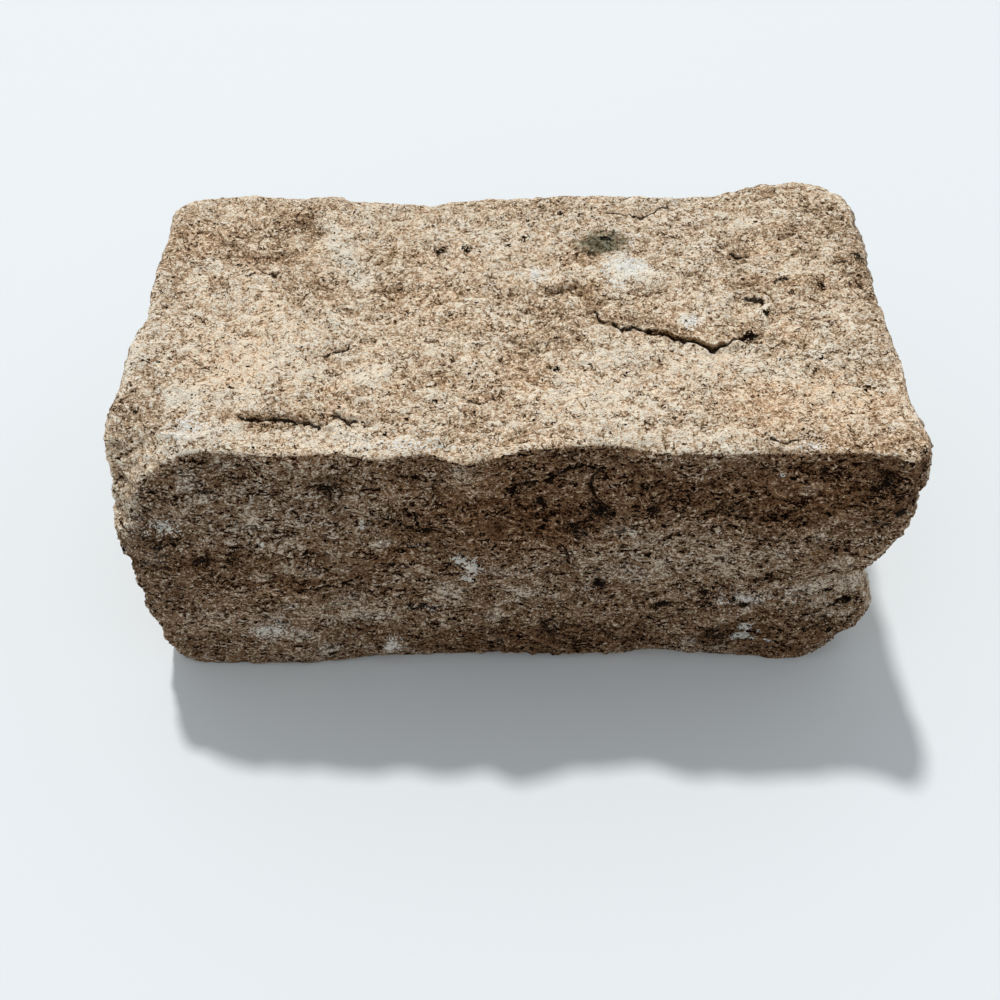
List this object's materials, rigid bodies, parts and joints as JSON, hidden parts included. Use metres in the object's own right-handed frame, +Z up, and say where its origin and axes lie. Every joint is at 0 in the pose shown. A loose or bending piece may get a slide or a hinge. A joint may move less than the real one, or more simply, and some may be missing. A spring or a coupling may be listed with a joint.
{
  "type": "granite belgian block",
  "caption": "Hand-split granite paving block, a rough rectangular stone with a flat bed, worn edges and a notched right end.",
  "frame": {"origin": "on the ground, at the middle of the stone's outer box seen from above", "axes": "+X along the length towards the notched end, +Y towards the back, +Z up; the front face looks towards -Y"},
  "size_m": [0.294, 0.164, 0.126],
  "materials": {
    "granite": "rough split"
  },
  "bodies": {
    "root": {"granite_block": "granite"}
  },
  "joints": []
}
